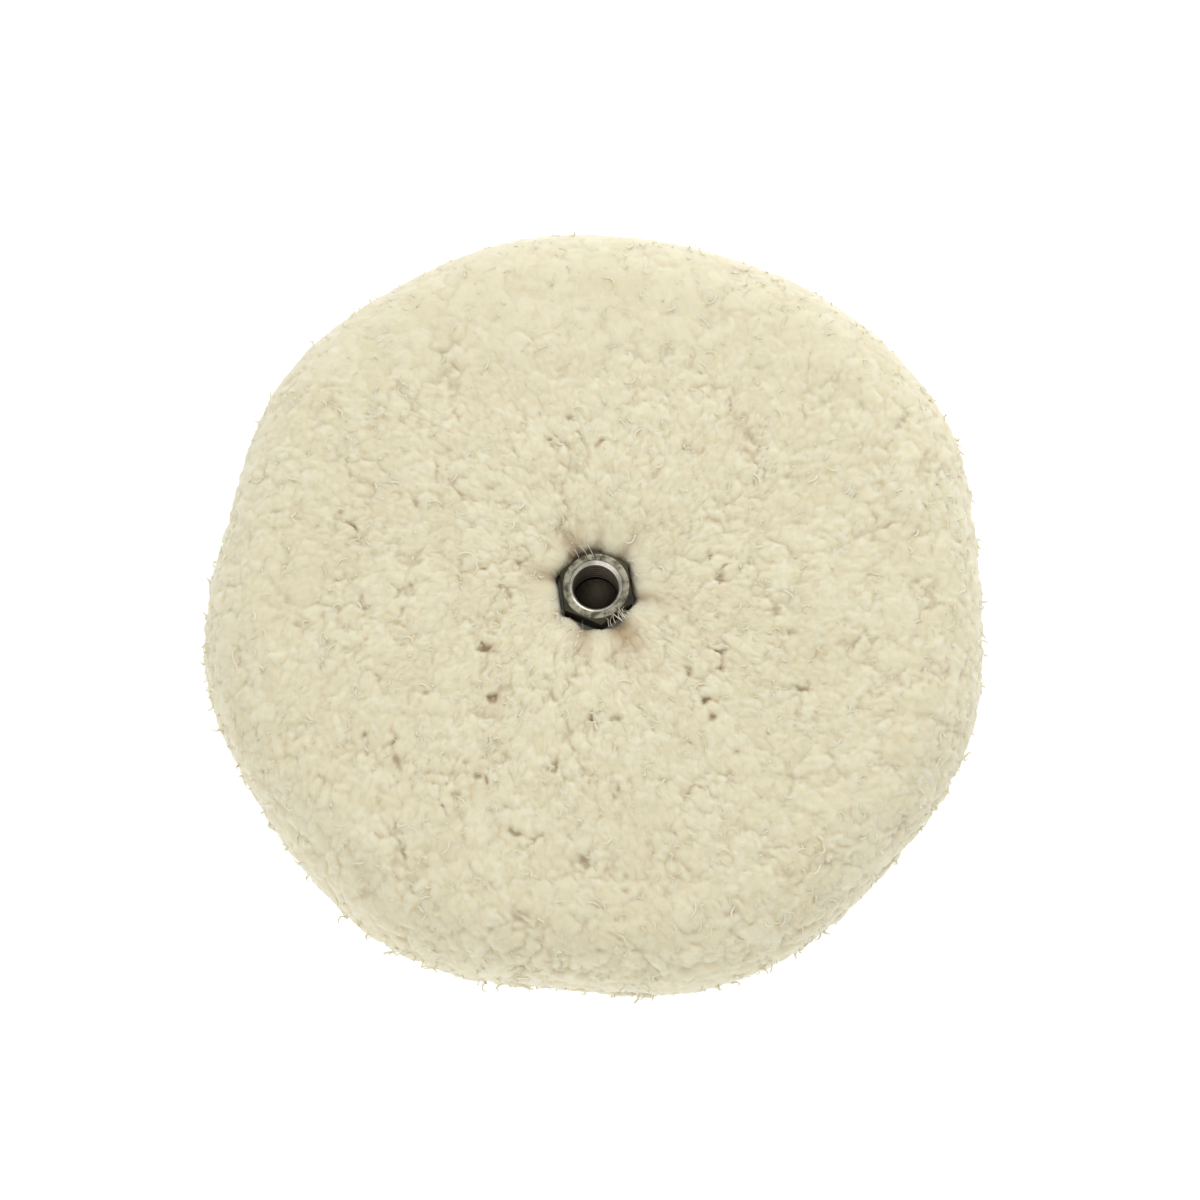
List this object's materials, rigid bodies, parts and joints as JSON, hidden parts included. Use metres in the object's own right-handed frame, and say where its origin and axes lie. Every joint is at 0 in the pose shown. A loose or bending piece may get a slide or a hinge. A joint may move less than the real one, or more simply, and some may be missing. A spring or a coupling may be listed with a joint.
{
  "type": "double-sided wool polishing wheel",
  "caption": "Thick round polishing wheel with curly wool pile on both faces and a threaded steel hex hub that screws onto a machine's spindle.",
  "frame": {"origin": "centre of the wheel, on its axis and halfway through its thickness", "axes": "+Z along the wheel's axis, out of the front face and out of the hub's threaded mouth; +X and +Y lie in the wheel's plane"},
  "size_m": [0.24, 0.24, 0.052],
  "materials": {
    "wool": "curly natural wool pile, matt",
    "hub_steel": "turned steel, darkened and lightly worn",
    "nut_steel": "zinc plated, dulled",
    "spring_steel": "hardened spring steel, dark",
    "plate_steel": "zinc plated sheet steel",
    "fibre_board": "vulcanised fibre, matt brown",
    "eyelet_brass": "drawn brass, satin",
    "felt": "firm pressed felt",
    "canvas": "plain woven cotton canvas",
    "ground_cloth": "thin woven ground cloth",
    "binding_tape": "herringbone cotton tape",
    "thread": "waxed sewing thread"
  },
  "bodies": {
    "wheel": {"spindle_hub": "hub_steel", "front_clamp_washer": "plate_steel", "rear_clamp_washer": "plate_steel", "front_fibre_plate": "fibre_board", "rear_fibre_plate": "fibre_board", "eyelet_barrel": "eyelet_brass", "eyelet_ring": "eyelet_brass", "felt_core": "felt", "front_backing": "canvas", "rear_backing": "canvas", "front_ground_cloth": "ground_cloth", "rear_ground_cloth": "ground_cloth", "rim_binding": "binding_tape", "rim_stitching": "thread", "inner_seam": "thread", "middle_seam": "thread", "outer_seam": "thread", "front_wool_pile": "wool", "rear_wool_pile": "wool"},
    "washer": {"lock_washer": "spring_steel"},
    "nut": {"clamp_nut": "nut_steel"}
  },
  "joints": [
    {"name": "lock_washer_slide", "type": "slide", "parent": "wheel", "child": "washer", "axis": [0, 0, -1], "range_m": [0, 0.00676]},
    {"name": "clamp_nut_screw", "type": "hinge", "parent": "washer", "child": "nut", "pos_m": [0, 0, -0.0136], "axis": [0, 0, -1], "range_deg": [0, 1620]}
  ],
  "couplings": [
    {"joint": "lock_washer_slide", "follows": "clamp_nut_screw", "m_per_rad": 0.00023873}
  ]
}
